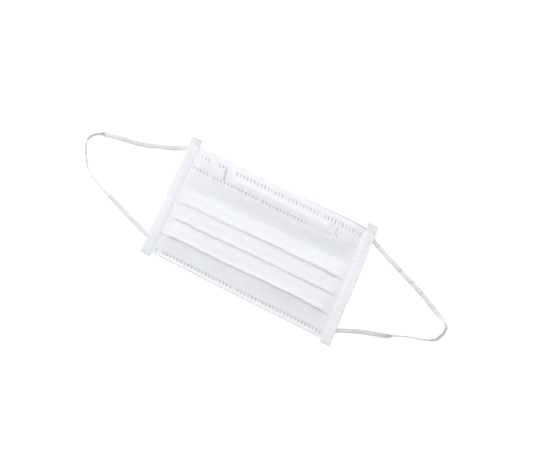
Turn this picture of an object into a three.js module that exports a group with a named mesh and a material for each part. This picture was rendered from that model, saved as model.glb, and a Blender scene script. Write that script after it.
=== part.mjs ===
// Pleated surgical face mask, folded flat, outer face up, in millimetres. +X is the wearer's
// width, +Y points to the nose edge, +Z points away from the surface that the mask lies on.
// The origin is on that surface, under the middle of the mask.
import * as THREE from "three";

// Pleated panel
const PANEL_HEIGHT = 96.5; // nose edge to chin edge, folded
const CLOTH = 1.0; // wall of the layered cloth
const FOLD_GAP = 0.3; // between two layers of a fold
const NOSE_HEM = 18.5; // cloth turned back behind the nose edge
const CHIN_HEM = 7.0; // cloth turned back behind the chin edge
const CLIMB = 4.0; // length over which a layer rises onto the layers below it
const CRUSHED_SHARE = 0.35; // thickness left where the side bindings press the cloth
const LOFT_SHARE = 1.4; // how far the pleats spring up in the middle
const RAMP = 20.0; // from the crushed side to full loft
const LEAN = 0.057; // the chin edge lies this share of the height to the right
const PLEAT_SLANT = 0.02; // the pleats rise by this share of the width to the right

// Pleats, from the nose edge down: where the fold edge lies below the nose edge, and how deep
// the hidden fold behind it reaches, both as shares of the panel height.
const PLEATS = [
  { edge: 0.503, depth: 0.156 },
  { edge: 0.649, depth: 0.099 },
  { edge: 0.812, depth: 0.114 },
];

// Nose wire
const WIRE_LENGTH = 87.0;
const WIRE_WIDTH = 3.5;
const WIRE_THICKNESS = 0.8;
const WIRE_BELOW_EDGE = 11.3; // from the nose edge to the middle of the wire
const WIRE_OFF_CENTRE = 5.5; // to the right of the middle of the mask
const WIRE_CLEARANCE = 0.3; // all round, inside its channel

// Side bindings
const MASK_WIDTH = 173.0; // over both bindings
const BINDING_WIDTH = 9.0;
const BINDING_LENGTH = 104.5;
const BINDING_WALL = 1.0;
const BINDING_CLEARANCE = 0.3; // to the cloth it wraps
const TAB_GAP = 0.3; // between the two leaves past the end of the panel
const TAB_CLOSING = 4.0; // length over which the leaves come together there

// Ear loops, flat elastic bands
const BAND_WIDTH = 4.0;
const BAND_THICKNESS = 0.8;
const BAND_CLEARANCE = 0.3; // under the binding
const BAND_EDGE_SHARE = 0.25; // rounding of the band's long edges, as a share of its thickness

// Middle line of each band seen from above, from the nose side to the chin side.
const LEFT_LOOP = [
  [-83.5, 45], [-90.5, 41.5], [-100, 37], [-111.5, 33], [-125.5, 28], [-139.5, 25.5],
  [-150.5, 23.5], [-156.5, 22], [-161.5, 19.5], [-165.5, 16], [-167.5, 11], [-167, 6],
  [-164, 0.5], [-160, -5.5], [-156, -10.5], [-150.5, -14.5], [-144, -17.5], [-136, -20],
  [-125, -24.5], [-112.5, -29], [-98, -34], [-87.5, -37], [-78.5, -39.5],
];
const RIGHT_LOOP = [
  [78, 44], [84.5, 41.5], [90, 39], [102.5, 34], [116, 28.5], [133.5, 21.5],
  [145, 16.5], [151, 13.5], [156.5, 11], [161.5, 9], [165.5, 6.5], [167.5, 3.5],
  [167.5, -0.5], [166.5, -4], [164.5, -8], [161.5, -10.5], [157, -12.5], [150, -14.5],
  [141, -17], [133, -20.5], [127.5, -23.5], [117, -26.5], [106.5, -30], [95, -35],
  [89, -38], [83, -41.5],
];

// How each band is turned about its own length, in degrees: 0 lies flat, 90 stands on edge.
const LEFT_TURNS = [
  { along: 0, turn: 0 }, { along: 0.05, turn: 0 }, { along: 0.09, turn: 35 },
  { along: 0.16, turn: 8 }, { along: 0.36, turn: 8 }, { along: 0.41, turn: 40 },
  { along: 0.47, turn: 84 }, { along: 0.64, turn: 84 }, { along: 0.71, turn: 45 },
  { along: 0.76, turn: 4 }, { along: 0.82, turn: 8 }, { along: 0.88, turn: 30 },
  { along: 0.93, turn: 24 }, { along: 0.96, turn: 0 }, { along: 1, turn: 0 },
];
const RIGHT_TURNS = [
  { along: 0, turn: 0 }, { along: 0.04, turn: 0 }, { along: 0.08, turn: 10 },
  { along: 0.14, turn: 24 }, { along: 0.22, turn: 8 }, { along: 0.42, turn: 8 },
  { along: 0.47, turn: 40 }, { along: 0.52, turn: 80 }, { along: 0.62, turn: 80 },
  { along: 0.66, turn: 50 }, { along: 0.71, turn: 78 }, { along: 0.76, turn: 35 },
  { along: 0.8, turn: 4 }, { along: 0.95, turn: 4 }, { along: 1, turn: 0 },
];

// Sizes that follow
const LAYER = CLOTH + FOLD_GAP; // from one layer's middle to the next
const FOLD_RADIUS = LAYER / 2; // of a fold, to the middle of the cloth
const FOLD_REACH = FOLD_RADIUS + CLOTH / 2; // of a fold, to its outer face
const STACK = 3 * CLOTH + 2 * FOLD_GAP; // the three layers of a pleat
const CHANNEL = WIRE_THICKNESS + 2 * WIRE_CLEARANCE; // height left for the wire
const CHANNEL_RISE = CHANNEL - FOLD_GAP;
const THICKEST = Math.max(STACK, 2 * CLOTH + CHANNEL);
const CAVITY = THICKEST * CRUSHED_SHARE + 2 * BINDING_CLEARANCE;
const BINDING_BOTTOM = BAND_THICKNESS + BAND_CLEARANCE;
const PANEL_LIFT = BINDING_BOTTOM + BINDING_WALL + BINDING_CLEARANCE;
const PANEL_WIDTH = MASK_WIDTH - 2 * (BINDING_WALL + BINDING_CLEARANCE);
const CRUSHED_FROM = MASK_WIDTH / 2 - BINDING_WIDTH; // distance from the middle of the mask

const PANEL_STEPS = 20;
const FOLD_SEGMENTS = 5;
const CLIMB_SEGMENTS = 5;
const BINDING_STEPS = 22;
const BAND_STEPS = 72;

const cloth = new THREE.MeshStandardMaterial({ color: 0xf1f2f7, roughness: 0.9, metalness: 0 });
const tape = new THREE.MeshStandardMaterial({ color: 0xe9ecee, roughness: 0.85, metalness: 0 });
const elastic = new THREE.MeshStandardMaterial({ color: 0xe2e4e6, roughness: 0.8, metalness: 0 });
const wire = new THREE.MeshStandardMaterial({ color: 0xf4f4f4, roughness: 0.5, metalness: 0 });

function smooth(share) {
  return THREE.MathUtils.smoothstep(share, 0, 1);
}

function moveVertices(geometry, place) {
  const position = geometry.getAttribute("position");
  const point = new THREE.Vector3();
  for (let i = 0; i < position.count; i++) {
    point.fromBufferAttribute(position, i);
    place(point);
    position.setXYZ(i, point.x, point.y, point.z);
  }
  geometry.computeVertexNormals();
  return geometry;
}

function named(name, geometry, material) {
  const mesh = new THREE.Mesh(geometry, material);
  mesh.name = name;
  return mesh;
}

// How hard the side bindings press the cloth: 1 under a binding, 0 in the middle of the mask.
function pressed(x) {
  return smooth((Math.abs(x) - CRUSHED_FROM + RAMP) / RAMP);
}

function leaned(point) {
  point.x -= LEAN * point.y;
}

// A point of the cloth as folded, (x, y) in plan and z above its underside, goes to where it
// lies: pressed thin and lifted at the sides, lofted in the middle, pleats a little aslant.
function layCloth(point) {
  const press = pressed(point.x);
  point.z *= THREE.MathUtils.lerp(LOFT_SHARE, CRUSHED_SHARE, press);
  point.z += PANEL_LIFT * press;
  point.y += PLEAT_SLANT * point.x * (1 - (2 * point.y / PANEL_HEIGHT) ** 2);
  leaned(point);
}

// Middle line of the folded cloth from the back of the nose hem to the back of the chin hem.
// The first number runs down the mask from the nose edge, the second is the height.
function foldedLine() {
  const height = (level) => CLOTH / 2 + level * LAYER;
  const line = new THREE.Path();
  const climbTo = (down, z, length) => {
    const from = line.currentPoint.clone();
    const start = down - Math.sign(down - from.x) * length;
    if (Math.abs(down - from.x) > length) line.lineTo(start, from.y);
    const half = (line.currentPoint.x + down) / 2;
    line.bezierCurveTo(half, from.y, half, z, down, z);
  };
  const foldUnder = (centre, z) =>
    line.absarc(centre, z - FOLD_RADIUS, FOLD_RADIUS, Math.PI / 2, -Math.PI / 2, true);
  const foldBack = (centre, z) =>
    line.absarc(centre, z - FOLD_RADIUS, FOLD_RADIUS, Math.PI / 2, 3 * Math.PI / 2, false);

  line.moveTo(NOSE_HEM, height(0));
  line.lineTo(FOLD_REACH, height(0));
  line.absarc(FOLD_REACH, FOLD_RADIUS + height(0), FOLD_RADIUS, 3 * Math.PI / 2, Math.PI / 2, true);

  const wireHalf = WIRE_WIDTH / 2 + WIRE_CLEARANCE;
  const shoulder = CHANNEL_RISE + CLOTH / 2;
  climbTo(WIRE_BELOW_EDGE - wireHalf, height(1) + CHANNEL_RISE, shoulder);
  line.lineTo(WIRE_BELOW_EDGE + wireHalf, height(1) + CHANNEL_RISE);
  climbTo(WIRE_BELOW_EDGE + wireHalf + shoulder, height(1), shoulder);
  line.lineTo(NOSE_HEM, height(1));
  climbTo(NOSE_HEM + CLIMB, height(0), CLIMB);

  for (const { edge, depth } of PLEATS) {
    const lip = edge * PANEL_HEIGHT;
    const hidden = lip - depth * PANEL_HEIGHT;
    climbTo(hidden, height(2), CLIMB);
    line.lineTo(lip - FOLD_REACH, height(2));
    foldUnder(lip - FOLD_REACH, height(2));
    line.lineTo(hidden + FOLD_REACH, height(1));
    foldBack(hidden + FOLD_REACH, height(1));
    line.lineTo(lip, height(0));
  }

  climbTo(PANEL_HEIGHT - CHIN_HEM, height(1), CLIMB);
  line.lineTo(PANEL_HEIGHT - FOLD_REACH, height(1));
  foldUnder(PANEL_HEIGHT - FOLD_REACH, height(1));
  line.lineTo(PANEL_HEIGHT - CHIN_HEM, height(0));
  return line;
}

// Points of a path, with no two alike next to each other.
function pathPoints(path) {
  const points = [];
  for (const curve of path.curves) {
    const segments = curve.isLineCurve ? 1 : curve.isEllipseCurve ? FOLD_SEGMENTS : CLIMB_SEGMENTS;
    for (const point of curve.getPoints(segments)) {
      const last = points.at(-1);
      if (!last || last.distanceTo(point) > 1e-6) points.push(point);
    }
  }
  return points;
}

// Closed outline of a strip of the given wall that follows a line, half the wall to each side.
function stripShape(points, wall) {
  const sides = [[], []];
  points.forEach((point, i) => {
    const before = points[Math.max(i - 1, 0)];
    const after = points[Math.min(i + 1, points.length - 1)];
    const into = point.clone().sub(before).normalize();
    const out = after.clone().sub(point).normalize();
    const along = into.clone().add(out).normalize();
    const normal = new THREE.Vector2(-along.y, along.x);
    const corner = Math.max(along.dot(i ? into : out), 0.5);
    sides[0].push(point.clone().addScaledVector(normal, wall / 2 / corner));
    sides[1].push(point.clone().addScaledVector(normal, -wall / 2 / corner));
  });
  return new THREE.Shape([...sides[0], ...sides[1].reverse()]);
}

// The whole pleated panel is one folded sheet: its section is drawn from the side and run
// across the mask, with the steps closer together towards the bindings.
function pleatedPanel() {
  const section = stripShape(pathPoints(foldedLine()), CLOTH);
  const geometry = new THREE.ExtrudeGeometry(section, {
    depth: 2,
    steps: PANEL_STEPS,
    bevelEnabled: false,
  });
  return moveVertices(geometry, (point) => {
    const across = Math.sin((1 - point.z) * Math.PI / 2) * PANEL_WIDTH / 2;
    point.set(across, PANEL_HEIGHT / 2 - point.x, point.y);
    layCloth(point);
  });
}

// Flat strip in its channel, laid with the cloth round it.
function noseWire() {
  const geometry = new THREE.BoxGeometry(WIRE_LENGTH, WIRE_WIDTH, WIRE_THICKNESS / LOFT_SHARE, 12);
  geometry.translate(
    WIRE_OFF_CENTRE,
    PANEL_HEIGHT / 2 - WIRE_BELOW_EDGE,
    CLOTH + CHANNEL / 2,
  );
  return moveVertices(geometry, layCloth);
}

// Tape folded over one side edge of the panel, drawn as a C from above its outer fold and run
// along the edge. side is -1 on the left and 1 on the right.
function binding(side) {
  const fold = (CAVITY + BINDING_WALL) / 2;
  const lower = BINDING_BOTTOM + BINDING_WALL / 2;
  const line = new THREE.Path();
  const foldCentre = MASK_WIDTH / 2 - BINDING_WALL - BINDING_CLEARANCE;
  const reach = MASK_WIDTH / 2 - BINDING_WALL / 2 - foldCentre;
  line.moveTo(CRUSHED_FROM, lower);
  line.lineTo(foldCentre, lower);
  line.absellipse(foldCentre, lower + fold, reach, fold, -Math.PI / 2, Math.PI / 2, false);
  line.lineTo(CRUSHED_FROM, lower + 2 * fold);
  const section = stripShape(pathPoints(line), BINDING_WALL);
  const geometry = new THREE.ExtrudeGeometry(section, {
    depth: 2,
    steps: BINDING_STEPS,
    bevelEnabled: false,
  });
  moveVertices(geometry, (point) => {
    const along = Math.sin((1 - point.z) * Math.PI / 2) * BINDING_LENGTH / 2;
    const past = (Math.abs(along) - PANEL_HEIGHT / 2) / TAB_CLOSING;
    const above = THREE.MathUtils.clamp((point.y - BINDING_BOTTOM - BINDING_WALL) / CAVITY, 0, 1);
    const closing = (CAVITY - TAB_GAP) * smooth(past) * above;
    point.set(point.x, along, point.y - closing);
  });
  if (side < 0) geometry.rotateZ(Math.PI);
  return moveVertices(geometry, leaned);
}

// Turn of a band at a share of its length, smooth between the rows of its table.
function turnAt(turns, along) {
  const next = Math.max(turns.findIndex((row) => row.along >= along), 1);
  const a = turns[next - 1];
  const b = turns[next];
  const share = smooth((along - a.along) / (b.along - a.along));
  return THREE.MathUtils.degToRad(THREE.MathUtils.lerp(a.turn, b.turn, share));
}

// Flat elastic band along its route, turned as its table says. Its middle line is as high as
// the turned section needs to touch the surface.
function earLoop(route, turns) {
  const half = BAND_WIDTH / 2;
  const thick = BAND_THICKNESS / 2;
  const round = BAND_EDGE_SHARE * BAND_THICKNESS;
  const section = new THREE.Shape([
    new THREE.Vector2(half, -thick + round),
    new THREE.Vector2(half, thick - round),
    new THREE.Vector2(half - round, thick),
    new THREE.Vector2(-half + round, thick),
    new THREE.Vector2(-half, thick - round),
    new THREE.Vector2(-half, -thick + round),
    new THREE.Vector2(-half + round, -thick),
    new THREE.Vector2(half - round, -thick),
  ]);
  const plan = new THREE.CatmullRomCurve3(route.map(([x, y]) => new THREE.Vector3(x, y, 0)));
  const geometry = new THREE.ExtrudeGeometry(section, {
    depth: 1,
    steps: BAND_STEPS,
    bevelEnabled: false,
  });
  return moveVertices(geometry, (point) => {
    const along = THREE.MathUtils.clamp(point.z, 0, 1);
    const turn = turnAt(turns, along);
    const tangent = plan.getTangentAt(along);
    const rise = half * Math.sin(turn) + thick * Math.cos(turn);
    const across = point.x * Math.cos(turn) - point.y * Math.sin(turn);
    const up = point.x * Math.sin(turn) + point.y * Math.cos(turn);
    const middle = plan.getPointAt(along);
    point.set(middle.x - tangent.y * across, middle.y + tangent.x * across, rise + up);
  });
}

const mask = new THREE.Group();
mask.add(named("pleated_panel", pleatedPanel(), cloth));
mask.add(named("nose_wire", noseWire(), wire));
mask.add(named("binding_left", binding(-1), tape));
mask.add(named("binding_right", binding(1), tape));
mask.add(named("ear_loop_left", earLoop(LEFT_LOOP, LEFT_TURNS), elastic));
mask.add(named("ear_loop_right", earLoop(RIGHT_LOOP, RIGHT_TURNS), elastic));

export default mask;
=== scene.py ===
import math

import bmesh
import bpy
from mathutils import Matrix, Vector
from mathutils.noise import noise


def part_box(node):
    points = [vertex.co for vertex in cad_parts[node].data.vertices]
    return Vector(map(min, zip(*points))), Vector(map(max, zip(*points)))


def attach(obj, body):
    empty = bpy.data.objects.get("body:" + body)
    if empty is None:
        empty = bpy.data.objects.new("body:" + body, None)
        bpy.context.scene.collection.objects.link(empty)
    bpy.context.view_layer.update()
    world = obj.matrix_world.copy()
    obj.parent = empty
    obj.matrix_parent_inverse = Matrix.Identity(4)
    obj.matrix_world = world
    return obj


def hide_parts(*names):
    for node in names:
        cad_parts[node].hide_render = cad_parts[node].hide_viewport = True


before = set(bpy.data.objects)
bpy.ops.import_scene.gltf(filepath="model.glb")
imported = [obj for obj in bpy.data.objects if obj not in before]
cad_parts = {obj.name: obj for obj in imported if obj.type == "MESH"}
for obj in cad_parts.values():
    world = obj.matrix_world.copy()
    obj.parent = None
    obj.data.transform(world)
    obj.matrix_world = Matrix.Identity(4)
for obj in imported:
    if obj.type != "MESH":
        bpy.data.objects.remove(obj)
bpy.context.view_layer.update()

mm = 0.001


# Camera. The mask was photographed lying on a table, from nearly straight above and about an
# arm's length away, so what lies lower in the picture looks a little larger.
camera_aim = Vector((2.1, 14.9, 0)) * mm
camera_azimuth = math.radians(25.0)
camera_elevation = math.radians(81.9)
camera_roll = math.radians(-1.6)
camera_distance = 600 * mm
camera_lens = 48.3

camera_data = bpy.data.cameras.new("camera")
camera_data.lens = camera_lens
camera_data.sensor_width = 36
camera = bpy.data.objects.new("camera", camera_data)
bpy.context.scene.collection.objects.link(camera)
camera_back = Vector((
    math.sin(camera_azimuth) * math.cos(camera_elevation),
    -math.cos(camera_azimuth) * math.cos(camera_elevation),
    math.sin(camera_elevation),
))
camera.location = camera_aim + camera_back * camera_distance
upright = (-camera_back).to_track_quat("-Z", "Y").to_matrix()
camera.rotation_euler = (upright @ Matrix.Rotation(-camera_roll, 3, "Z")).to_euler()
bpy.context.scene.camera = camera


# Ear loops. Flat braided elastic bands of white yarn over rubber threads, with fine ribs along
# them. Each lies loose on the table, turned on edge round its far bend, and is welded under the
# side binding at both ends.
band_width = 4.0 * mm
band_thickness = 0.8 * mm
band_ribs = 5
band_rib_depth = 0.14
band_side_power = 0.75
band_face_power = 0.4
band_around = 40
band_steps = 420
steps_per_span = 24
merge_distance = 1e-7

# A small wobble of each band's turn, in radians, how often it comes, and how soon it starts.
wobble = 0.05
wobbles = 14
wobble_start = 12

left_route = [
    (-83.5, 45), (-90.5, 41.5), (-99.9, 36.7), (-111.4, 32.6), (-125.4, 27.6), (-139.4, 25.1),
    (-150.4, 23.1), (-156.2, 21.6), (-161.1, 19.2), (-165, 15.8), (-166.9, 11.2), (-166.1, 6.4),
    (-163.2, 1.2), (-159.4, -4.6), (-155.5, -9.5), (-150.1, -13.4), (-143.7, -16.4),
    (-135.8, -19.1), (-124.8, -23.8), (-112.3, -28.3), (-97.8, -33.5), (-87.5, -36.9),
    (-78.5, -39.5),
]
right_route = [
    (78, 44), (84.5, 41.4), (89.9, 38.8), (102.3, 33.7), (115.9, 28.3), (133.5, 21.5),
    (145, 16.5), (151, 13.5), (156.5, 11), (161.5, 9), (165.5, 6.5), (167.5, 3.5),
    (167.5, -0.5), (166.5, -4), (164.5, -8), (161.5, -10.5), (157, -12.6), (150.1, -14.8),
    (141.2, -17.5), (133.2, -20.9), (127.7, -23.8), (117.2, -27), (106.7, -30.5), (95.2, -35.3),
    (89, -38.1), (83, -41.5),
]

# How each band is turned about its length: the share along it, and the turn in degrees, where 0
# lies flat, 90 stands on edge, and more has leaned over past its edge.
left_turns = [
    (0, 0), (0.04, -2), (0.065, -9), (0.1, -8), (0.12, -3), (0.15, 0), (0.18, -7), (0.205, -4),
    (0.225, -11), (0.25, -3), (0.3, -8), (0.318, -1), (0.345, -4), (0.365, -2), (0.382, -4),
    (0.394, -64), (0.408, -80), (0.44, -81), (0.462, -83), (0.476, -114), (0.495, -127),
    (0.525, -128), (0.545, -108), (0.56, -124), (0.58, -110), (0.605, -90), (0.64, -76),
    (0.68, -68), (0.7, -56), (0.73, -24), (0.76, -2), (0.8, -2), (0.83, -7), (0.86, -11),
    (0.885, -3), (0.93, -5), (0.96, -8), (1, 0),
]
right_turns = [
    (0, 0), (0.03, 14), (0.06, 10), (0.078, -5), (0.092, 4), (0.11, -6), (0.17, -5),
    (0.192, 10), (0.214, -6), (0.238, -4), (0.26, 11), (0.282, -5), (0.302, -3), (0.318, 7),
    (0.336, -5), (0.4, -2), (0.43, -12), (0.455, -26), (0.475, -50), (0.5, -42), (0.525, -50),
    (0.545, -42), (0.57, -60), (0.6, -79), (0.64, -83), (0.7, -82), (0.734, -76), (0.757, -32),
    (0.779, -10), (0.85, -4), (0.9, -8), (0.93, -3), (0.96, -5), (1, 0),
]


def smooth(share):
    share = min(max(share, 0.0), 1.0)
    return share * share * (3 - 2 * share)


def smooth_route(points, steps):
    """Points evenly spaced along a smooth curve through the given ones, in metres."""
    knots = [Vector((x, y, 0)) * mm for x, y in points]
    knots = [2 * knots[0] - knots[1], *knots, 2 * knots[-1] - knots[-2]]
    fine = []
    for a, b, c, d in zip(knots, knots[1:], knots[2:], knots[3:]):
        ta = 0.0
        tb = ta + math.sqrt((b - a).length)
        tc = tb + math.sqrt((c - b).length)
        td = tc + math.sqrt((d - c).length)
        for k in range(steps_per_span):
            t = tb + (tc - tb) * k / steps_per_span
            ab = a.lerp(b, (t - ta) / (tb - ta))
            bc = b.lerp(c, (t - tb) / (tc - tb))
            cd = c.lerp(d, (t - tc) / (td - tc))
            abc = ab.lerp(bc, (t - ta) / (tc - ta))
            bcd = bc.lerp(cd, (t - tb) / (td - tb))
            fine.append(abc.lerp(bcd, (t - tb) / (tc - tb)))
    fine.append(knots[-2])
    lengths = [0.0]
    for p, q in zip(fine, fine[1:]):
        lengths.append(lengths[-1] + (q - p).length)
    even = []
    i = 0
    for k in range(steps + 1):
        want = lengths[-1] * k / steps
        while i < len(fine) - 2 and lengths[i + 1] < want:
            i += 1
        even.append(fine[i].lerp(fine[i + 1], (want - lengths[i]) / (lengths[i + 1] - lengths[i])))
    return even, lengths[-1]


def turn_at(turns, along):
    for (a, turn_a), (b, turn_b) in zip(turns, turns[1:]):
        if along <= b:
            share = smooth((along - a) / (b - a))
            return math.radians(turn_a + (turn_b - turn_a) * share)
    return math.radians(turns[-1][1])


def piece_of(name, bm, materials):
    """A finished bmesh as a named object that rides on the part."""
    mesh = bpy.data.meshes.new(name)
    bm.to_mesh(mesh)
    bm.free()
    mesh.shade_smooth()
    for material in materials:
        mesh.materials.append(material)
    piece = bpy.data.objects.new(name, mesh)
    bpy.context.scene.collection.objects.link(piece)
    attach(piece, "root")
    return piece


# What the vertices of a grid carry for the nonwoven materials.
cloth_marks = ("welded", "tick_away", "tick_strength", "tick_width", "tick_slant")


def grid_of(across_steps, along_steps):
    """A flat grid with a UV map and layers for its marks, and each vertex's column and row."""
    bm = bmesh.new()
    bm.loops.layers.uv.new("UVMap")
    for mark in cloth_marks:
        bm.verts.layers.float.new(mark)
    bm.verts.layers.deform.new()
    bmesh.ops.create_grid(bm, x_segments=across_steps, y_segments=along_steps, size=0.5,
                          calc_uvs=True)
    places = {}
    for vert in bm.verts:
        places[vert] = (round((vert.co.x + 0.5) * across_steps),
                        round((vert.co.y + 0.5) * along_steps))
    return bm, places


def set_uv(bm, places, uv_of):
    layer = bm.loops.layers.uv["UVMap"]
    for face in bm.faces:
        for loop in face.loops:
            loop[layer].uv = uv_of(*places[loop.vert])


def band_section(column):
    """A point of the band's section: across its width, and up through its thickness."""
    angle = 2 * math.pi * column / band_around
    c = math.cos(angle)
    s = math.sin(angle)
    across = math.copysign(abs(c) ** band_side_power, c) * band_width / 2
    rib = 0.5 + 0.5 * math.cos(2 * math.pi * band_ribs * across / band_width)
    up = math.copysign(abs(s) ** band_face_power, s) * band_thickness / 2
    return across, up * (1 - band_rib_depth * rib)


def ear_loop(name, node, route, turns, seed):
    middle, length = smooth_route(route, band_steps)
    bm, places = grid_of(band_around, band_steps)
    rings = []
    for row, point in enumerate(middle):
        before = middle[max(row - 1, 0)]
        after = middle[min(row + 1, band_steps)]
        along = (after - before).normalized()
        left = Vector((-along.y, along.x, 0))
        share = row / band_steps
        turn = turn_at(turns, share)
        still = smooth(wobble_start * min(share, 1 - share))
        turn += wobble * noise(Vector((share * wobbles, seed, 0))) * still
        rise = (band_width * abs(math.sin(turn)) + band_thickness * abs(math.cos(turn))) / 2
        rings.append((point + Vector((0, 0, rise)), left, turn))
    for vert, (column, row) in places.items():
        across, up = band_section(column)
        point, left, turn = rings[row]
        sideways = across * math.cos(turn) - up * math.sin(turn)
        upward = across * math.sin(turn) + up * math.cos(turn)
        vert.co = point + left * sideways + Vector((0, 0, upward))
    set_uv(bm, places, lambda column, row: (
        2 * band_width * column / band_around, length * row / band_steps))
    bmesh.ops.remove_doubles(bm, verts=bm.verts, dist=merge_distance)
    bmesh.ops.holes_fill(bm, edges=[e for e in bm.edges if e.is_boundary])
    bmesh.ops.recalc_face_normals(bm, faces=bm.faces)
    piece = piece_of(name, bm, [elastic_material])
    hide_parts(node)


def new_material(name):
    """A new material and its Principled shader."""
    material = bpy.data.materials.new(name)
    material.use_nodes = True
    return material, material.node_tree.nodes["Principled BSDF"]


def node_in(tree, kind, **settings):
    """A new node, with values for its inputs and for its own settings."""
    node = tree.nodes.new(kind)
    for key, value in settings.items():
        if key in node.inputs:
            node.inputs[key].default_value = value
        else:
            setattr(node, key, value)
    return node


def math_in(tree, operation, first, second=None, third=None, clamp=False):
    """The result of a Math node, whose inputs are numbers or other nodes' outputs."""
    node = tree.nodes.new("ShaderNodeMath")
    node.operation = operation
    node.use_clamp = clamp
    for socket, value in zip(node.inputs, (first, second, third)):
        if value is None:
            continue
        if isinstance(value, (int, float)):
            socket.default_value = value
        else:
            tree.links.new(value, socket)
    return node.outputs[0]


def colours_in(tree, factor, low, high):
    """A colour between two, by a factor from 0 to 1."""
    node = node_in(tree, "ShaderNodeMix", data_type="RGBA")
    tree.links.new(factor, node.inputs["Factor"])
    node.inputs["A"].default_value = (*low, 1)
    node.inputs["B"].default_value = (*high, 1)
    return node.outputs["Result"]


def bump_in(tree, height, strength, distance, shader):
    node = node_in(tree, "ShaderNodeBump", Strength=strength, Distance=distance)
    tree.links.new(height, node.inputs["Height"])
    tree.links.new(node.outputs["Normal"], shader.inputs["Normal"])


# White yarn in a fine herringbone along the band; the grey in the grooves between ribs is painted
# shade.
elastic_light = (0.80, 0.81, 0.82)
elastic_groove_shade = (0.55, 0.56, 0.57)
elastic_bump = 0.55
elastic_relief = 0.12 * mm
stitch_length = 0.9 * mm
stitch_slant = 2.2
stitch_height = 0.3
rib_height = -0.35
fuzz_height = 0.35
fuzz_per_metre = 2400.0
elastic_material, elastic_shader = new_material("braided_elastic")
elastic_shader.inputs["Roughness"].default_value = 0.8
elastic_shader.inputs["Sheen Weight"].default_value = 0.2
elastic_shader.inputs["Sheen Roughness"].default_value = 0.5
tree = elastic_material.node_tree
uv = node_in(tree, "ShaderNodeUVMap", uv_map="UVMap").outputs["UV"]
split = tree.nodes.new("ShaderNodeSeparateXYZ")
tree.links.new(uv, split.inputs[0])
rib_phase = math_in(tree, "MULTIPLY", split.outputs[0], 2 * math.pi * band_ribs / band_width)
rib_wave = math_in(tree, "COSINE", rib_phase)
slant = math_in(tree, "ABSOLUTE", math_in(tree, "SINE", math_in(tree, "MULTIPLY", rib_phase, 0.5)))
stitch_phase = math_in(tree, "MULTIPLY", split.outputs[1], 2 * math.pi / stitch_length)
stitch = math_in(tree, "SINE", math_in(tree, "MULTIPLY_ADD", slant, stitch_slant, stitch_phase))
ribs = math_in(tree, "MULTIPLY", rib_wave, rib_height)
yarn = math_in(tree, "MULTIPLY_ADD", stitch, stitch_height, ribs)
fuzz = node_in(tree, "ShaderNodeTexNoise", Scale=fuzz_per_metre, Detail=3.0)
tree.links.new(uv, fuzz.inputs["Vector"])
height = math_in(tree, "MULTIPLY_ADD", fuzz.outputs["Fac"], fuzz_height, yarn)
# Painted shade: the lower the yarn's relief, the more of the grey groove colour it takes.
groove_shade_mix = math_in(tree, "MULTIPLY_ADD", height, 0.6, 0.55, clamp=True)
tree.links.new(colours_in(tree, groove_shade_mix, elastic_groove_shade, elastic_light),
               elastic_shader.inputs["Base Color"])
bump_in(tree, height, elastic_bump, elastic_relief, elastic_shader)

ear_loop("ear_loop_left_band", "ear_loop_left", left_route, left_turns, 3.7)
ear_loop("ear_loop_right_band", "ear_loop_right", right_route, right_turns, 8.1)


# Pleated panel. One piece of soft layered nonwoven cloth, folded by machine into three pleats
# that open downwards, with both long edges turned to the back and welded in rows of short
# ticks. The side bindings press its ends flat, and the pleats spring up between them.
panel_height = 96.5 * mm
mask_width = 173.0 * mm
panel_width = 170.4 * mm
cloth = 0.13 * mm
pressed_cloth = 0.4
binding_width = 9.0 * mm
ramp = 12.0 * mm
lean = 0.057
pleat_slant = 0.02

weld_pitch = 3.25 * mm
columns_per_weld = 4
panel_columns = 2 * round(panel_width / weld_pitch * columns_per_weld / 2)
column_width = panel_width / panel_columns

# The outer face from the nose edge down, in mm: how far down, its height over the table in the
# middle of the mask, and its height where a binding presses it.
outer_face = {
    "nose hem": [(0.9, 2.12, 1.46), (3.5, 2.32, 1.46), (8.2, 2.58, 1.46), (9.6, 2.64, 1.46),
                 (13.4, 2.68, 1.46), (18.2, 2.52, 1.46), (21.4, 2.27, 1.46), (25.0, 1.84, 1.46),
                 (29.0, 1.28, 1.46), (32.5, 0.92, 1.45), (34.4, 0.82, 1.45), (36.4, 0.91, 1.46),
                 (39.4, 1.19, 1.5), (43.0, 1.53, 1.54), (45.4, 1.83, 1.55), (46.8, 2.02, 1.56),
                 (47.7, 1.96, 1.55), (48.4, 1.81, 1.54)],
    "first shingle": [(48.45, 1.62, 1.44), (49.8, 1.56, 1.44), (51.5, 1.6, 1.45),
                      (55.0, 1.83, 1.5), (59.1, 2.08, 1.54), (61.1, 2.4, 1.56),
                      (61.95, 2.36, 1.55), (62.5, 2.22, 1.54)],
    "second shingle": [(62.55, 2.0, 1.44), (63.9, 1.94, 1.44), (65.6, 1.98, 1.45),
                       (70.0, 2.27, 1.5), (74.8, 2.52, 1.54), (76.7, 2.83, 1.56),
                       (77.7, 2.77, 1.55), (78.25, 2.6, 1.54)],
    "chin hem": [(78.3, 2.38, 1.44), (79.6, 2.18, 1.44), (83.0, 1.86, 1.45), (87.0, 1.6, 1.45),
                 (91.0, 1.42, 1.45), (93.4, 1.32, 1.45), (94.7, 1.35, 1.45), (96.6, 1.63, 1.45),
                 (97.4, 1.61, 1.45)],
}

# The two hems at the back, in the same columns, and where the nose fold ends on the outer face.
nose_hem_back = [(19.5, 1.9, 1.33), (15.0, 1.75, 1.33), (8.0, 1.6, 1.33), (4.0, 1.1, 1.33),
                 (0.9, 0.6, 1.33)]
nose_fold_end = (0.9, 2.0, 1.46)
chin_hem_back = [(97.4, 1.3, 1.32), (95.6, 1.0, 1.32), (92.6, 0.42, 1.32), (90.0, 0.26, 1.32)]

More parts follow.
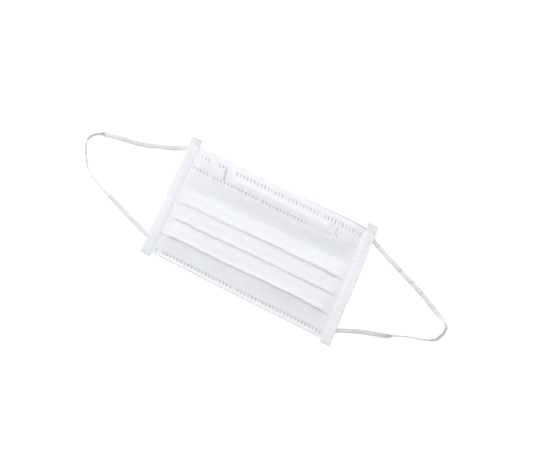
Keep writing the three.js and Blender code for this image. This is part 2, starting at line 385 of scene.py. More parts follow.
# Pleats: how far down the fold's edge lies and how far down the hidden fold behind it begins,
# in mm; then how much further the edge stands up, and how far it wanders towards the nose, at
# places across the mask, in mm.
pleats = [
    {"edge": 48.54, "hidden": 37.0,
     "stands": [(-75, -0.1), (-50, -0.2), (-20, -0.17), (5, 0.0), (25, 0.03), (40, -0.05),
                (75, 0.15)],
     "wanders": [(-75, -0.9), (-58, -0.3), (-40, -0.5), (-12, -0.2), (5, 0.4), (22, 0.0),
                 (38, -0.3), (47, -0.1), (53, 0.0), (66, -0.6), (75, -1.0)]},
    {"edge": 62.63, "hidden": 53.4,
     "stands": [(-75, -0.1), (-55, -0.05), (-30, -0.09), (-10, -0.09), (10, -0.08),
                (20, -0.2), (27, -0.2), (40, -0.09), (60, 0.0), (75, -0.06)],
     "wanders": [(-75, -1.0), (-60, -0.4), (-44, -0.7), (-30, -0.5), (-5, -0.3), (20, -0.3),
                 (32, -0.6), (46, -0.8), (62, -0.5), (75, -1.0)]},
    {"edge": 78.36, "hidden": 67.8,
     "stands": [(-80, -0.14), (-75, -0.12), (-69, -0.04), (-40, -0.05), (-14, -0.02), (15, 0.34),
                (35, 0.42), (50, 0.36), (56, 0.16), (75, 0.03)],
     "wanders": [(-72, -0.4), (-50, -0.1), (-30, -0.2), (0, 0.2), (14, 0.7), (30, 0.4),
                 (44, 0.6), (50, 0.8), (54, -0.1), (64, -0.5), (75, -0.8)]},
]

# How far from a pleat's edge its stand and its wander fade out, and the share of the last
# pleat's stand that draws the chin hem up below it, and over what length.
lift_reach = 9.0 * mm
drawn_share = 0.75
drawn_reach = 9.0 * mm
wander_reach = 3.0 * mm
fold_rows = 6

# The cloth inside a pleat, in mm: how far it lies under the fold's edge in the middle and at
# the sides, how far below the hidden fold its layers begin, and their heights, as shares of
# the outer face in the middle and in mm at the sides.
under_edge = 0.14
under_edge_side = 0.05
hidden_offset = 0.2
hidden_upper = (0.6, 1.42)
hidden_lower = (0.22, 1.36)
emerging_gap = 0.6

# The largest distance between rows of the cloth, in mm; the nose step is for its stations.
inside_step = 1.8
back_hem_step = 1.6
nose_step = 0.5
shingle_step = 0.8
chin_step = 0.6
chin_back_step = 0.9
nose_stations = 6


def between(table, x):
    """A value read from a table of (place, value) rows in mm, smoothly between its rows."""
    if x <= table[0][0] * mm:
        return table[0][1] * mm
    for (a, low), (b, high) in zip(table, table[1:]):
        if x <= b * mm:
            return (low + (high - low) * smooth((x / mm - a) / (b - a))) * mm
    return table[-1][1] * mm


def through(stations, step):
    """Points a step or less apart on a smooth line through the stations, in metres."""
    points = []
    for i in range(len(stations) - 1):
        start = Vector(stations[i])
        end = Vector(stations[i + 1])
        before = Vector(stations[i - 1]) if i else start
        after = Vector(stations[i + 2]) if i + 2 < len(stations) else end
        run = end.x - start.x
        leave = (end - before) / ((end.x - before.x) or run) * run
        arrive = (after - start) / ((after.x - start.x) or run) * run
        count = max(1, math.ceil(abs(run) / step))
        for k in range(1, count + 1):
            t = k / count
            points.append(mm * (start * (2 * t ** 3 - 3 * t ** 2 + 1)
                                + leave * (t ** 3 - 2 * t ** 2 + t)
                                + end * (3 * t ** 2 - 2 * t ** 3) + arrive * (t ** 3 - t ** 2)))
    return points


def height_at(face, down):
    """Height of the outer face in the middle of the mask, in mm."""
    for (a, low, _), (b, high, _) in zip(face, face[1:]):
        if down <= b:
            return low + (high - low) * (down - a) / (b - a)
    return face[-1][1]


def folded_rows():
    """Rows of the cloth from the back of the nose hem to the back of the chin hem. Each has how
    far down it lies, its heights in the middle and at the sides, the pleat whose edge it is
    near, how much (0 to 1) it takes of that edge's stand and of its wander, and whether it
    is on the outer face."""
    rows = []

    def run(stations, step, outer, pleat=None, drawn_by=None):
        first = Vector(stations[0]) * mm
        points = through(stations, step)
        if not rows or (first - Vector(rows[-1][:3])).length > 0.01 * mm:
            points = [first, *points]
        for point in points:
            near = 0.0
            wander = 0.0
            if drawn_by and not pleat:
                near = drawn_share * smooth(1 - (point.x - drawn_by["edge"] * mm) / drawn_reach)
            if pleat:
                gap = pleat["edge"] * mm - point.x
                near = smooth(1 - gap / lift_reach)
                wander = smooth(1 - gap / wander_reach)
            rows.append((point.x, point.y, point.z, pleat or drawn_by, near, wander, outer))

    def fold(start, end, bulge, outer, pleat=None):
        """Half a turn of cloth from one height to another, at one place down the mask."""
        start = Vector(start) * mm
        end = Vector(end) * mm
        radius = abs(start.y - end.y) / 2
        for k in range(1, fold_rows):
            angle = math.pi * k / fold_rows
            point = start.lerp(end, (1 - math.cos(angle)) / 2)
            point.x += bulge * radius * math.sin(angle)
            at_edge = 1.0 if pleat else 0.0
            rows.append((point.x, point.y, point.z, pleat, at_edge, at_edge, outer))

    run(nose_hem_back, back_hem_step, False)
    fold(nose_hem_back[-1], nose_fold_end, -1, True)
    faces = list(outer_face.values())
    run(faces[0][:nose_stations], nose_step, True)
    for face, following, pleat in zip(faces, faces[1:], pleats):
        first = nose_stations - 1 if face is faces[0] else 0
        run(face[first:], shingle_step, True, pleat)
        lip, lip_height, lip_side = face[-1]
        under = (lip_height - under_edge, lip_side - under_edge_side)
        fold(face[-1], (lip, *under), 1, True, pleat)
        hidden = pleat["hidden"]
        over_hidden = height_at(face, hidden)
        upper = (hidden + hidden_offset, hidden_upper[0] * over_hidden, hidden_upper[1])
        lower = (hidden + hidden_offset, hidden_lower[0] * over_hidden, hidden_lower[1])
        run([(lip, *under), upper], inside_step, False, pleat)
        fold(upper, lower, -1, False)
        emerging, *heights = following[0]
        run([lower, (emerging - emerging_gap, *heights)], inside_step, False)
    run(faces[-1], chin_step, True, drawn_by=pleats[-1])
    fold(faces[-1][-1], chin_hem_back[0], 1, True)
    run(chin_hem_back, chin_back_step, False)
    return rows


def bell(x, width):
    return math.exp(-(x / width) ** 2)


def plateau(x, low, high, edge):
    return smooth((x - low) / edge + 0.5) * smooth((high - x) / edge + 0.5)


# Weld rows: how far down the mask, the length of one tick in mm, its width as a share of the
# pitch, how deep it is pressed in mm, how far it slants, how dark it is, how unevenly, the
# stretch from left to right where it is strong, and ticks that are missing.
# A tick's darkness sets both its depth and its weld grey; that grey is painted shade in its pit.
weld_rows = [
    {"down": 8.0, "long": 3.6, "wide": 0.36, "deep": 0.22, "slant": -0.22, "dark": 0.85,
     "uneven": 0.9, "from": -71, "to": 77, "gaps": (-61.75, -58.5, -45.5, -42.25)},
    {"down": 19.2, "long": 2.3, "wide": 0.44, "deep": 0.18, "slant": -0.15, "dark": 0.72,
     "uneven": 0.6, "from": -86, "to": 29, "gaps": (-58.5, -13.0)},
    {"down": 93.8, "long": 2.9, "wide": 0.48, "deep": 0.26, "slant": -0.12, "dark": 0.68,
     "uneven": 0.4, "from": -82, "to": 78.5, "gaps": (-78, -71.5, -3.25)},
]
fade_length = 5.0 * mm
faint_share = 0.18
row_reach = 3.4 * mm
no_tick = 20.0 * mm
pressed_tick_width = 0.6
row_groove_width = 1.4 * mm
row_groove_depth = 0.03


def tick_marks(x, down):
    """The nearest weld row here: how far off it is in half ticks, how strong its tick is, and
    how wide."""
    for row in weld_rows:
        away = down - row["down"] * mm
        if abs(away) > row_reach:
            continue
        index = round((x + row["slant"] * away) / weld_pitch)
        centre = index * weld_pitch
        strong = plateau(centre, row["from"] * mm, row["to"] * mm, fade_length)
        strength = row["dark"] * (faint_share + (1 - faint_share) * strong)
        strength *= 0.9 + row["uneven"] * noise(Vector((index * 1.7, row["down"], 0)))
        if any(abs(centre - gap * mm) < weld_pitch / 2 for gap in row["gaps"]):
            strength = 0.0
        return away, min(max(strength, 0.0), 1.0), row
    return no_tick, 0.0, None


# Stop marks that hold the ends of the nose wire, short bars pressed into the hem, and a glue
# mark at the left end of the last pleat: each one's middle across and down the mask, its size
# in mm, how far it slants, and how dark it is.
stop_bars = [
    (-47.7, 13.6, 1.5, 9.0, -0.2, 1.0),
    (-51.6, 8.2, 1.4, 2.2, 0.0, 0.7),
    (55.6, 14.4, 0.9, 6.4, -0.04, 0.8),
    (50.4, 12.2, 0.8, 3.6, -0.1, 0.6),
    (57.4, 17.8, 0.9, 2.6, -0.1, 0.7),
    (51.6, 18.6, 2.4, 0.8, 0.0, 0.6),
    (-75.6, 80.6, 1.4, 3.4, 0.0, 0.45),
]
bar_edge = 0.9 * mm
bar_depth = 0.4

# The ridge over the nose wire: where it begins and ends across the mask, and its height at
# places down the mask, in mm.
wire_from = -38.0 * mm
wire_to = 49.0 * mm
wire_end_length = 1.8 * mm
wire_ridge = [(8.9, 0.0), (9.8, 0.06), (13.0, 0.27), (14.0, 0.29), (15.6, 0.22), (20.5, 0.0)]

# Pressed lines, darkened with the weld grey: a fine one along the nose edge and a broken one along
# the chin edge.
edge_line = [(-80, 0.5), (-50, 0.4), (-42, 0.05), (-5, 0.0), (20, 0.4), (36, 1.1), (60, 1.6),
             (80, 1.8)]
edge_line_down = 1.1 * mm
chin_line = [(-80, 0.0), (-68, 0.3), (-50, 0.1), (-40, 0.3), (-28, 0.0), (0, 0.1), (30, 0.0),
             (60, 0.2), (80, 0.0)]
chin_line_down = 97.1 * mm
edge_line_width = 0.7 * mm
chin_line_width = 0.4 * mm
chin_line_break = 2.4 * mm
line_depth = 0.12
line_darkness = 0.75
line_limit = 1.3

# How the nose hem tips at places across the mask: where it is above 0 the hem lies flatter.
hem_tip = [(-66, 0.5), (-46, 0.2), (-30, 0.03), (-5, 0.12), (20, 0.14), (45, 0.0), (76, 0.08)]

# How far the nose edge bows out of line towards the right.
nose_bow = [(-5, 0.0), (30, 0.4), (75, 1.1)]


def hem_relief(x, down):
    """Height added to the outer face by the wire, the weld rows, the stop marks and the pressed
    lines, and how much of the darker weld grey those marks and lines take."""
    away, strength, row = tick_marks(x, down)
    height = 0.0
    if row:
        leaned = x + row["slant"] * away
        centre = round(leaned / weld_pitch) * weld_pitch
        tick = smooth(1.2 - 2 * abs(away) / (row["long"] * mm))
        tick *= smooth(1.3 - 2 * abs(leaned - centre) / (pressed_tick_width * weld_pitch))
        groove = bell(down - row["down"] * mm, row_groove_width)
        height -= (row["deep"] * strength * tick + row_groove_depth * groove) * mm
    stopped = 0.0
    for middle, bar_down, wide, tall, bar_slant, dark in stop_bars:
        leaned = x + bar_slant * (down - bar_down * mm)
        bar = plateau(leaned, (middle - wide / 2) * mm, (middle + wide / 2) * mm, bar_edge)
        bar *= plateau(down, (bar_down - tall / 2) * mm, (bar_down + tall / 2) * mm, bar_edge)
        stopped = max(stopped, bar * dark)
    height -= bar_depth * stopped * mm
    lined = between(edge_line, x) / mm * bell(down - edge_line_down, edge_line_width)
    broken = 0.6 + 0.8 * noise(Vector((x / chin_line_break, 0.5, 3)))
    lined += broken * between(chin_line, x) / mm * bell(down - chin_line_down, chin_line_width)
    height -= line_depth * lined * mm
    stopped = max(stopped, line_darkness * min(lined, line_limit))
    across = plateau(x, wire_from, wire_to, wire_end_length)
    return height + across * between(wire_ridge, down), stopped


def pressed_share(x):
    return smooth((abs(x) - (mask_width / 2 - binding_width) + ramp) / ramp)


# The cloth's unevenness: how large each kind is across and down the mask in mm, and its seed.
uneven_kinds = {"wave": (17, 26, 1.3), "ripple": (7, 12, 6.1), "swell": (34, 20, 4.4),
                "crinkle": (5.5, 4, 9.0), "pucker": (3.2, 5, 2.0)}
swell_share = 0.10
ripple_share = 0.05
wave_shift = 0.35
ripple_shift = 0.15
edge_ripple = 0.4 * mm
crinkle_height = 0.07 * mm
pucker_height = 0.14 * mm
pucker_at = 71 * mm
pucker_reach = 6 * mm
long_edge_wander = 0.12 * mm
long_edge_pitch = 6 * mm
pressed_relief = 0.35
pressed_crinkle = 0.3

# Down the mask: where the hem's tip turns and ends, and where looseness and slant begin.
tip_axis = 10 * mm
tip_end = 32 * mm
tip_fade = 14 * mm
hem_looseness = 0.2
loose_from = 17 * mm
loose_fade = 10 * mm
aslant_from = 20 * mm
aslant_fade = 14 * mm
bow_reach = 18 * mm


def uneven(kind, x, y):
    across, down, seed = uneven_kinds[kind]
    return noise(Vector((x / (across * mm), y / (down * mm), seed)))


def lay_cloth(x, row):
    """Where a point of the folded cloth lies: pressed at the sides, sprung up in the middle,
    its pleats a little aslant and wavy."""
    down, mid, side, pleat, near, wander, outer = row
    press = pressed_share(x)
    free = 1 - press
    y = panel_height / 2 - down
    wave = uneven("wave", x, y)
    ripple = uneven("ripple", x, y)
    swell = uneven("swell", x, y)
    if pleat:
        mid += between(pleat["stands"], x) * near
        y += (between(pleat["wanders"], x) + edge_ripple * ripple) * wander
    tip = between(hem_tip, x) * (1 - down / tip_axis)
    mid += tip * smooth((tip_end - down) / tip_fade)
    loose = hem_looseness + (1 - hem_looseness) * smooth((down - loose_from) / loose_fade)
    swelling = 1 + loose * (swell_share * swell + ripple_share * ripple)
    height = mid * free * swelling + side * press
    stopped = 0.0
    if outer:
        relief, stopped = hem_relief(x, down)
        crinkle = uneven("crinkle", x, y)
        pucker = uneven("pucker", x, y)
        height += relief * (pressed_relief + (1 - pressed_relief) * free)
        height += crinkle_height * crinkle * (pressed_crinkle + (1 - pressed_crinkle) * free)
        height += pucker_height * pucker * bell(abs(x) - pucker_at, pucker_reach)
    inside = 1 - (2 * y / panel_height) ** 2
    aslant = pleat_slant * smooth((down - aslant_from) / aslant_fade)
    y += aslant * x * inside + (wave_shift * wave + ripple_shift * ripple) * mm * inside
    long_edge = 3.3 if y > 0 else -3.3
    y += long_edge_wander * noise(Vector((x / long_edge_pitch, long_edge, 0)))
    y += between(nose_bow, x) * smooth(1 - down / bow_reach) * free
    return Vector((x - lean * y, y, max(height, cloth / 2))), stopped


def add_wall(piece, thickness):
    """Gives a sheet its thickness, less where its vertex weights are less."""
    piece.vertex_groups.new(name="wall")
    wall = piece.modifiers.new("wall", "SOLIDIFY")
    wall.thickness = thickness
    wall.offset = 0
    wall.vertex_group = "wall"


def pleated_panel():
    rows = folded_rows()
    bm, places = grid_of(panel_columns, len(rows) - 1)
    weld = bm.verts.layers.float["welded"]
    away = bm.verts.layers.float["tick_away"]
    strong = bm.verts.layers.float["tick_strength"]
    wide = bm.verts.layers.float["tick_width"]
    slant = bm.verts.layers.float["tick_slant"]
    wall_weight = bm.verts.layers.deform.active
    for vert, (column, row) in places.items():
        x = (column - panel_columns / 2) * column_width
        vert.co, vert[weld] = lay_cloth(x, rows[row])
        vert[away] = no_tick
        if rows[row][-1]:
            off, vert[strong], weld_row = tick_marks(x, rows[row][0])
            if weld_row:
                vert[away] = 2 * off / (weld_row["long"] * mm)
                vert[wide] = weld_row["wide"]
                vert[slant] = weld_row["slant"] * off
        vert[wall_weight][0] = 1 - (1 - pressed_cloth) * pressed_share(x)
    lengths = [0.0]
    for start, end in zip(rows, rows[1:]):
        lengths.append(lengths[-1] + math.hypot(end[0] - start[0], end[1] - start[1]))
    middle = panel_columns / 2
    set_uv(bm, places, lambda column, row: ((column - middle) * column_width, lengths[row]))
    bmesh.ops.reverse_faces(bm, faces=bm.faces)
    piece = piece_of("pleated_panel_cloth", bm, [nonwoven_material])
    add_wall(piece, cloth)
    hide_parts("pleated_panel")


# The white of the cloth drifts a little between a cool and a lavender cast.
cool_tint = (0.975, 0.995, 1.0)
warm_tint = (1.0, 0.98, 1.0)
drift_per_metre = 26.0
cloud_per_metre = 110.0

# Fibres lie in three directions: the angle of each, and how far its strands are drawn out.
fibre_lays = ((20, 5.0), (-35, 4.0), (80, 6.0))
fibre_share = 0.34
fibres_per_metre = 900.0
bonds_per_metre = 560
bond_depth = -0.42
bond_shade = -0.22
weld_depth = -1.6
weld_roughness = 0.45
cloth_bump = 0.6
cloth_relief = 0.12 * mm


def bonded_fibres():
    """Shader group: nonwoven cloth, a mat of fine fibres held by small pressed bond points."""
    group = bpy.data.node_groups.new("bonded_fibres", "ShaderNodeTree")
    group.interface.new_socket("Cloth", in_out="INPUT", socket_type="NodeSocketVector")
    pitch = group.interface.new_socket("Bonds per Metre", in_out="INPUT",
                                       socket_type="NodeSocketFloat")
    pitch.default_value = bonds_per_metre
    for name in ("Height", "Bond", "Cloud"):
        group.interface.new_socket(name, in_out="OUTPUT", socket_type="NodeSocketFloat")
    group.interface.new_socket("Tint", in_out="OUTPUT", socket_type="NodeSocketColor")
    source = group.nodes.new("NodeGroupInput")
    result = group.nodes.new("NodeGroupOutput")
    turned = node_in(group, "ShaderNodeMapping", Rotation=(0, 0, math.radians(45)))
    group.links.new(source.outputs["Cloth"], turned.inputs["Vector"])
    bonds = node_in(group, "ShaderNodeTexVoronoi", Randomness=0.12, voronoi_dimensions="2D")
    group.links.new(turned.outputs[0], bonds.inputs["Vector"])
    group.links.new(source.outputs["Bonds per Metre"], bonds.inputs["Scale"])
    bond = math_in(group, "MULTIPLY_ADD", bonds.outputs["Distance"], -5.0, 1.6, clamp=True)
    matted = 0
    for angle, stretch in fibre_lays:
        lay = node_in(group, "ShaderNodeMapping", Rotation=(0, 0, math.radians(angle)),
                      Scale=(1, stretch, 1))
        group.links.new(source.outputs["Cloth"], lay.inputs["Vector"])
        strand = node_in(group, "ShaderNodeTexNoise", Scale=fibres_per_metre, Detail=4.0,
                         Distortion=0.3)
        group.links.new(lay.outputs[0], strand.inputs["Vector"])
        matted = math_in(group, "MULTIPLY_ADD", strand.outputs["Fac"], fibre_share, matted)
    cloud = node_in(group, "ShaderNodeTexNoise", Scale=cloud_per_metre, Detail=3.0)
    group.links.new(source.outputs["Cloth"], cloud.inputs["Vector"])
    height = math_in(group, "MULTIPLY_ADD", bond, bond_depth, matted)
    group.links.new(height, result.inputs["Height"])
    group.links.new(bond, result.inputs["Bond"])
    group.links.new(cloud.outputs["Fac"], result.inputs["Cloud"])
    drift = node_in(group, "ShaderNodeTexNoise", Scale=drift_per_metre, Detail=1.0)
    group.links.new(source.outputs["Cloth"], drift.inputs["Vector"])
    tint_share = math_in(group, "MULTIPLY_ADD", drift.outputs["Fac"], 3.0, -1.0, clamp=True)
    group.links.new(colours_in(group, tint_share, cool_tint, warm_tint), result.inputs["Tint"])
    return group


def nonwoven(name, light, shade, weld_grey_and_shade, rough):
    """White nonwoven: matt fibres, faint clouds of thicker and thinner cloth, glass-smooth welds,
    and in the welds a grey that is partly painted shade of their pressed pits.
    """
    material, shader = new_material(name)
    shader.inputs["Sheen Weight"].default_value = 0.15
    shader.inputs["Sheen Roughness"].default_value = 0.6
    tree = material.node_tree
    uv = node_in(tree, "ShaderNodeUVMap", uv_map="UVMap").outputs["UV"]
    fibres = node_in(tree, "ShaderNodeGroup", node_tree=fibre_group)
    tree.links.new(uv, fibres.inputs["Cloth"])
    marks = node_in(tree, "ShaderNodeGroup", node_tree=weld_group)
    tree.links.new(uv, marks.inputs["Cloth"])
    for mark in cloth_marks:
        reader = node_in(tree, "ShaderNodeAttribute", attribute_name=mark)
        tree.links.new(reader.outputs["Fac"], marks.inputs[mark])
    welded = marks.outputs["Welded"]
    bonded = math_in(tree, "MULTIPLY_ADD", fibres.outputs["Bond"], bond_shade, 1.0)
    clouded = math_in(tree, "MULTIPLY_ADD", fibres.outputs["Cloud"], 0.8, 0.3, clamp=True)
    mottled = math_in(tree, "MULTIPLY", bonded, clouded)
    white = colours_in(tree, mottled, shade, light)
    cast = node_in(tree, "ShaderNodeMix", data_type="RGBA", blend_type="MULTIPLY", Factor=1)
    tree.links.new(white, cast.inputs["A"])
    tree.links.new(fibres.outputs["Tint"], cast.inputs["B"])
    # The welds' darker grey is partly their own and partly painted shade of the pits they are
    # pressed into.
    tint = node_in(tree, "ShaderNodeMix", data_type="RGBA")
    tree.links.new(welded, tint.inputs["Factor"])
    tree.links.new(cast.outputs["Result"], tint.inputs["A"])
    tint.inputs["B"].default_value = (*weld_grey_and_shade, 1)
    tree.links.new(tint.outputs["Result"], shader.inputs["Base Color"])
    roughness = math_in(tree, "MULTIPLY_ADD", welded, weld_roughness - rough, rough)
    tree.links.new(roughness, shader.inputs["Roughness"])
    relief = math_in(tree, "MULTIPLY_ADD", welded, weld_depth, fibres.outputs["Height"])
    bump_in(tree, relief, cloth_bump, cloth_relief, shader)
    return material


def weld_marks():
    """Shader group: short welded ticks at an even pitch along the cloth, and other welds."""
    group = bpy.data.node_groups.new("weld_marks", "ShaderNodeTree")
    group.interface.new_socket("Cloth", in_out="INPUT", socket_type="NodeSocketVector")
    for mark in cloth_marks:
        group.interface.new_socket(mark, in_out="INPUT", socket_type="NodeSocketFloat")
    group.interface.new_socket("Welded", in_out="OUTPUT", socket_type="NodeSocketFloat")
    source = group.nodes.new("NodeGroupInput")
    result = group.nodes.new("NodeGroupOutput")
    split = group.nodes.new("ShaderNodeSeparateXYZ")
    group.links.new(source.outputs["Cloth"], split.inputs[0])
    place = math_in(group, "ADD", split.outputs[0], source.outputs["tick_slant"])
    turns = math_in(group, "MULTIPLY", place, 1 / weld_pitch)
    off = math_in(group, "ABSOLUTE", math_in(group, "SUBTRACT", turns,
                                             math_in(group, "ROUND", turns)))
    half_width = math_in(group, "MULTIPLY", source.outputs["tick_width"], 0.5)
    across = math_in(group, "MULTIPLY_ADD", math_in(group, "SUBTRACT", half_width, off), 9.0, 0.5,
                     clamp=True)
    ends = math_in(group, "ABSOLUTE", source.outputs["tick_away"])
    along = math_in(group, "MULTIPLY_ADD", ends, -4.0, 4.4, clamp=True)
    tick = math_in(group, "MULTIPLY", math_in(group, "MULTIPLY", across, along),
                   source.outputs["tick_strength"])
    welded = math_in(group, "MAXIMUM", tick, source.outputs["welded"], clamp=True)
    group.links.new(welded, result.inputs["Welded"])
    return group


fibre_group = bonded_fibres()
weld_group = weld_marks()
nonwoven_material = nonwoven("layered_nonwoven", light=(0.83, 0.835, 0.865),
                             shade=(0.77, 0.775, 0.81), weld_grey_and_shade=(0.50, 0.51, 0.54),
                             rough=0.9)
pleated_panel()


# Nose wire. A soft steel wire in white plastic, flat as a ribbon. It lies loose in the channel
# between the two upper weld rows, and shows only as the ridge in the cloth above it.
wire_flat = 0.5 * mm
wire_middle = 0.42 * mm
wire_tilt = math.radians(4.0)
wire_rounding = 0.2 * mm
wire_cuts = 28
wire_grey = (0.78, 0.78, 0.79)
wire_white = (0.86, 0.86, 0.86)

wire_material, wire_shader = new_material("coated_wire")
wire_shader.inputs["Roughness"].default_value = 0.5
tree = wire_material.node_tree
place = tree.nodes.new("ShaderNodeTexCoord").outputs["Object"]
scuffs = node_in(tree, "ShaderNodeTexNoise", Scale=700.0, Detail=4.0)
tree.links.new(place, scuffs.inputs["Vector"])
tree.links.new(colours_in(tree, scuffs.outputs["Fac"], wire_grey, wire_white),
               wire_shader.inputs["Base Color"])
bump_in(tree, scuffs.outputs["Fac"], 0.3, 0.05 * mm, wire_shader)
wire_low, wire_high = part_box("nose_wire")
wire_size = wire_high - wire_low
bm = bmesh.new()
bmesh.ops.create_cube(bm, size=1.0)
bmesh.ops.scale(bm, vec=(wire_size.x, wire_size.y, wire_flat), verts=bm.verts)
long_edges = [e for e in bm.edges if abs(e.verts[0].co.x - e.verts[1].co.x) > wire_flat]
bmesh.ops.subdivide_edges(bm, edges=long_edges, cuts=wire_cuts)
sharp_edges = [e for e in bm.edges if len(e.link_faces) == 2 and e.calc_face_angle() > 1]
bmesh.ops.bevel(bm, geom=sharp_edges, offset=wire_rounding, segments=3, profile=0.5,
                affect="EDGES", material=-1)
bmesh.ops.rotate(bm, verts=bm.verts, matrix=Matrix.Rotation(-wire_tilt, 3, "X"))
bmesh.ops.translate(bm, verts=bm.verts, vec=((wire_low.x + wire_high.x) / 2,
                                             (wire_low.y + wire_high.y) / 2,
                                             wire_low.z + wire_middle))
bmesh.ops.recalc_face_normals(bm, faces=bm.faces)
wire_piece = piece_of("nose_wire_strip", bm, [wire_material])
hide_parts("nose_wire")


# Side bindings. Thin nonwoven tape folded over each side edge of the panel and welded through
# with small slanted dashes. It runs a few millimetres past both corners, where its two leaves
# lie on each other and look grey and glassy.
binding_from = -52.3 * mm
binding_to = 53.3 * mm
tape = 0.16 * mm
thin_edge = 0.2
binding_rows = 200
leaf_columns = 18
fold_columns = 8
tab_closing = 2.5 * mm
binding_bottom = 1.05 * mm
binding_clear = 0.045 * mm
tab_height = 1.5 * mm
top_tab_from = 42.5 * mm
top_tab_fade = 6.5 * mm
top_tab_clear = 0.9
bottom_tab_clear = 0.3
dash_pitch = 4.4 * mm
dash_length = 2.4 * mm
crest_share = 0.45
outer_end = 1.0 * mm
under_reach = 2.5 * mm
tape_wander = 0.35 * mm
inner_wander = 0.3 * mm
edge_waver = 0.08 * mm
tape_swell = 0.07 * mm
tape_crinkle = 0.06 * mm
zigzag_height = 0.07 * mm
zigzag_pitch = 4.2 * mm
zigzag_lean = 0.9
zigzag_places = [(24, 8, 1.0), (-21, 6, 0.4)]
weld_dent = 0.2 * mm
weld_share = 0.55
dashes_fade = 14 * mm

# The upper leaf of the left and of the right binding: its height over the table along its
# crest and its outer edge, and how far its inner edge stands off the panel, at places from the
# chin to the nose; and its darkest welds, as the share of the way out and the place along it.
# All in mm.
leaf_crest = {
    -1: [(-50, 1.64), (-40, 1.78), (-30, 1.9), (-14, 1.92), (4, 1.92), (16, 1.96), (28, 1.94),
         (42, 1.9), (49, 1.74)],
    1: [(-50, 1.62), (-42, 1.76), (-14, 1.8), (-4, 1.98), (10, 1.98), (22, 1.88), (36, 1.92),
        (45, 1.88), (49, 1.76)],
}
leaf_edge = {
    -1: [(-50, 1.64), (-40, 1.66), (-30, 1.52), (-14, 1.48), (4, 1.5), (16, 1.66), (28, 1.82),
         (42, 1.9), (49, 1.74)],
    1: [(-50, 1.66), (-42, 1.9), (-14, 1.94), (-4, 2.14), (8, 2.12), (20, 1.88), (34, 1.76),
        (45, 1.72), (49, 1.68)],
}
inner_lift = {
    -1: [(10, 0.0), (18, 0.06), (28, 0.04), (34, 0.08), (46, 0.1), (50, 0.0)],
    1: [(0, 0.0)],
}
leaf_dots = {
    -1: [(0.14, 47.0), (0.12, -7.5), (0.92, -39.5)],
    1: [(0.9, -16.7), (0.92, -23.3), (0.93, -28.3), (0.9, -31.7), (0.68, 37.5), (0.2, 19.0)],
}
dot_size = 0.75 * mm

# Painted shade: how much weld grey darkens the middle of each upper leaf towards its ends, from 0
# to 1.
leaf_painted_shade = {
    -1: [(-52, 0.16), (-40, 0.14), (-32, 0.0), (2, 0.0), (16, 0.16), (26, 0.2), (36, 0.28),
         (46, 0.4)],
    1: [(-52, 0.0), (6, 0.0), (18, 0.08), (30, 0.2), (46, 0.26)],
}


def pressed_height(down):
    """Height of the panel's outer face under a binding, taken over the steps of its pleats."""
    stations = [station for face in outer_face.values() for station in face]
    near = [side for at, _, side in stations if abs(at * mm - down) < under_reach]
    return max(near or [stations[0][2]]) * mm


def dashes(share, y, line, phase, tilt, seed):
    """How deep a line of dashes along the tape is pressed here, from 0 to 1."""
    step = y / dash_pitch + phase
    away = (step - round(step)) * dash_pitch
    strength = 0.55 + 1.1 * noise(Vector((round(step) * 1.9, line * 7, seed)))
    across = (share - line) * binding_width - tilt * away
    dash = smooth((0.3 * mm - abs(across)) / (0.5 * mm) + 0.5)
    dash *= smooth((dash_length / 2 - abs(away)) / (0.6 * mm) + 0.5)
    return dash * min(max(strength, 0.0), 1.0)


def tape_relief(share, y, side, seed):
    """Height added to the upper leaf by its welds, and how welded it is there."""
    height = tape_swell * noise(Vector((share * 3, y / (5 * mm), seed)))
    height += tape_crinkle * noise(Vector((share * 6, y / (2.6 * mm), seed + 1)))
    inner = dashes(share, y, 0.13, 0.0, 0.0, seed)
    outer = dashes(share, y, 0.47, 0.4, 0.25, seed + 3)
    pressed = max(inner, outer) * (0.25 + 0.75 * smooth((y + dashes_fade) / dashes_fade))
    if side > 0:
        # The right binding is embossed in a soft zigzag, mostly below the nose hem.
        clear = sum(much * bell(y - at * mm, reach * mm) for at, reach, much in zigzag_places)
        off_crest = abs(share - crest_share)
        wave = math.sin(2 * math.pi * (y / zigzag_pitch + zigzag_lean * off_crest * 2))
        height += zigzag_height * clear * wave * plateau(share, 0.1, 0.82, 0.12)
        pressed = 0.5 * max(inner, outer)
    for dot_share, dot_y in leaf_dots[side]:
        off = math.hypot((share - dot_share) * binding_width, y - dot_y * mm)
        pressed = max(pressed, 1.5 * smooth(1.3 - off / dot_size))
    return height - weld_dent * min(pressed, 1.0), pressed


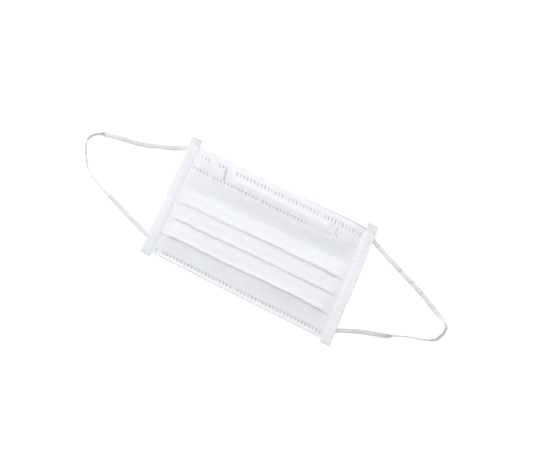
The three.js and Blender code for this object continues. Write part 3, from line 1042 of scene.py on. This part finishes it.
def binding(side, seed):
    columns = 2 * leaf_columns + fold_columns
    bm, places = grid_of(columns, binding_rows)
    weld = bm.verts.layers.float["welded"]
    away = bm.verts.layers.float["tick_away"]
    wall_weight = bm.verts.layers.deform.active
    inner = mask_width / 2 - binding_width
    for vert, (column, row) in places.items():
        y = binding_from + (binding_to - binding_from) * row / binding_rows
        past_top = smooth((y - panel_height / 2) / tab_closing)
        past_bottom = smooth((-y - panel_height / 2 - outer_end) / tab_closing)
        closed = max(past_top, past_bottom)
        low = binding_bottom + (tab_height - tape - binding_bottom) * closed
        wander = tape_wander * noise(Vector((y / (15 * mm), seed, 0)))
        edge = inner + inner_wander * noise(Vector((y / (6 * mm), seed, 5)))
        high = between(leaf_edge[side], y)
        high += edge_waver * noise(Vector((y / (12 * mm), seed, 2)))
        high += (tab_height + tape / 2 - high) * closed
        half = (high - low) / 2
        fold_centre = mask_width / 2 - half
        pressed = 0.0
        leaf_shade = 0.0
        if column <= leaf_columns:
            x = edge + (fold_centre - edge) * column / leaf_columns
            z = low
        elif column < leaf_columns + fold_columns:
            angle = math.pi * ((column - leaf_columns) / fold_columns - 0.5)
            x = fold_centre + half * math.cos(angle)
            z = low + half * (1 + math.sin(angle))
        else:
            share = (columns - column) / leaf_columns
            x = edge + (fold_centre - edge) * share
            start = pressed_height(panel_height / 2 - y) + binding_clear
            start += between(inner_lift[side], y)
            start += (tab_height + tape / 2 - start) * closed
            crest = between(leaf_crest[side], y)
            crest += (tab_height + tape / 2 - crest) * closed
            z = start + (crest - start) * smooth(share / crest_share)
            z += (high - crest) * smooth((share - crest_share) / (1 - crest_share))
            relief, pressed = tape_relief(share, y, side, seed)
            # Painted shade along the middle of the leaf, in the weld grey.
            leaf_shade = between(leaf_painted_shade[side], y) / mm * plateau(share, 0.08, 0.9, 0.3)
            z += relief * (1 - 0.7 * closed) * smooth(share / 0.15)
        vert.co = Vector((side * (x + wander), y, z))
        vert.co.x -= lean * y
        top_tab = smooth((y - top_tab_from) / top_tab_fade)
        mottled = 0.85 + 0.6 * noise(Vector((x / (3 * mm), y / (3 * mm), seed)))
        # Dashes and dots take the weld grey, partly painted shade in their pits; the tabs take the
        # grey of their welded leaves; the middle of the leaf takes its painted shade.
        clear = max(top_tab_clear * top_tab, bottom_tab_clear * past_bottom, leaf_shade) * mottled
        vert[weld] = max(weld_share * pressed * (1 - closed), clear)
        vert[away] = no_tick
        edge_column = min(column, columns - column)
        vert[wall_weight][0] = thin_edge + (1 - thin_edge) * smooth(edge_column / 3)
    length = binding_to - binding_from
    set_uv(bm, places, lambda column, row: (
        2 * binding_width * column / columns, length * row / binding_rows))
    bmesh.ops.recalc_face_normals(bm, faces=bm.faces)
    name = "binding_left" if side < 0 else "binding_right"
    piece = piece_of(name + "_tape", bm, [tape_material])
    add_wall(piece, tape)
    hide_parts(name)


tape_material = nonwoven("binding_nonwoven", light=(0.85, 0.855, 0.885),
                         shade=(0.80, 0.81, 0.835), weld_grey_and_shade=(0.62, 0.65, 0.64),
                         rough=0.85)
binding(-1, 2.2)
binding(1, 7.4)


# Studio. A pale table under two big soft lamps, the brighter one low beyond the nose edge.
floor_size = 6.0
bm = bmesh.new()
bmesh.ops.create_grid(bm, x_segments=1, y_segments=1, size=floor_size / 2)
floor_mesh = bpy.data.meshes.new("floor")
bm.to_mesh(floor_mesh)
bm.free()
floor_material, floor_shader = new_material("pale_floor")
floor_shader.inputs["Base Color"].default_value = (0.45, 0.45, 0.45, 1)
floor_shader.inputs["Emission Color"].default_value = (1, 1, 1, 1)
floor_shader.inputs["Emission Strength"].default_value = 0.75
floor_shader.inputs["Roughness"].default_value = 1.0
floor_shader.inputs["Specular IOR Level"].default_value = 0.0
floor_mesh.materials.append(floor_material)
floor = bpy.data.objects.new("floor", floor_mesh)
bpy.context.scene.collection.objects.link(floor)


def lamp(name, direction, distance, size, power):
    data = bpy.data.lights.new(name, "AREA")
    data.shape = "DISK"
    data.size = size
    data.energy = power
    lamp_object = bpy.data.objects.new(name, data)
    back = Vector(direction).normalized()
    lamp_object.location = back * distance
    lamp_object.rotation_euler = (-back).to_track_quat("-Z", "Y").to_euler()
    bpy.context.scene.collection.objects.link(lamp_object)


lamp("key", direction=(-0.4, 0.8, 0.52), distance=1.1, size=0.9, power=12.6)
lamp("top", direction=(0.1, 0.2, 1.0), distance=1.6, size=1.6, power=5.0)

world = bpy.data.worlds.new("studio")
world.use_nodes = True
background = world.node_tree.nodes["Background"]
background.inputs["Color"].default_value = (1, 1, 1, 1)
background.inputs["Strength"].default_value = 0.45
bpy.context.scene.world = world
bpy.context.scene.view_settings.view_transform = "Standard"
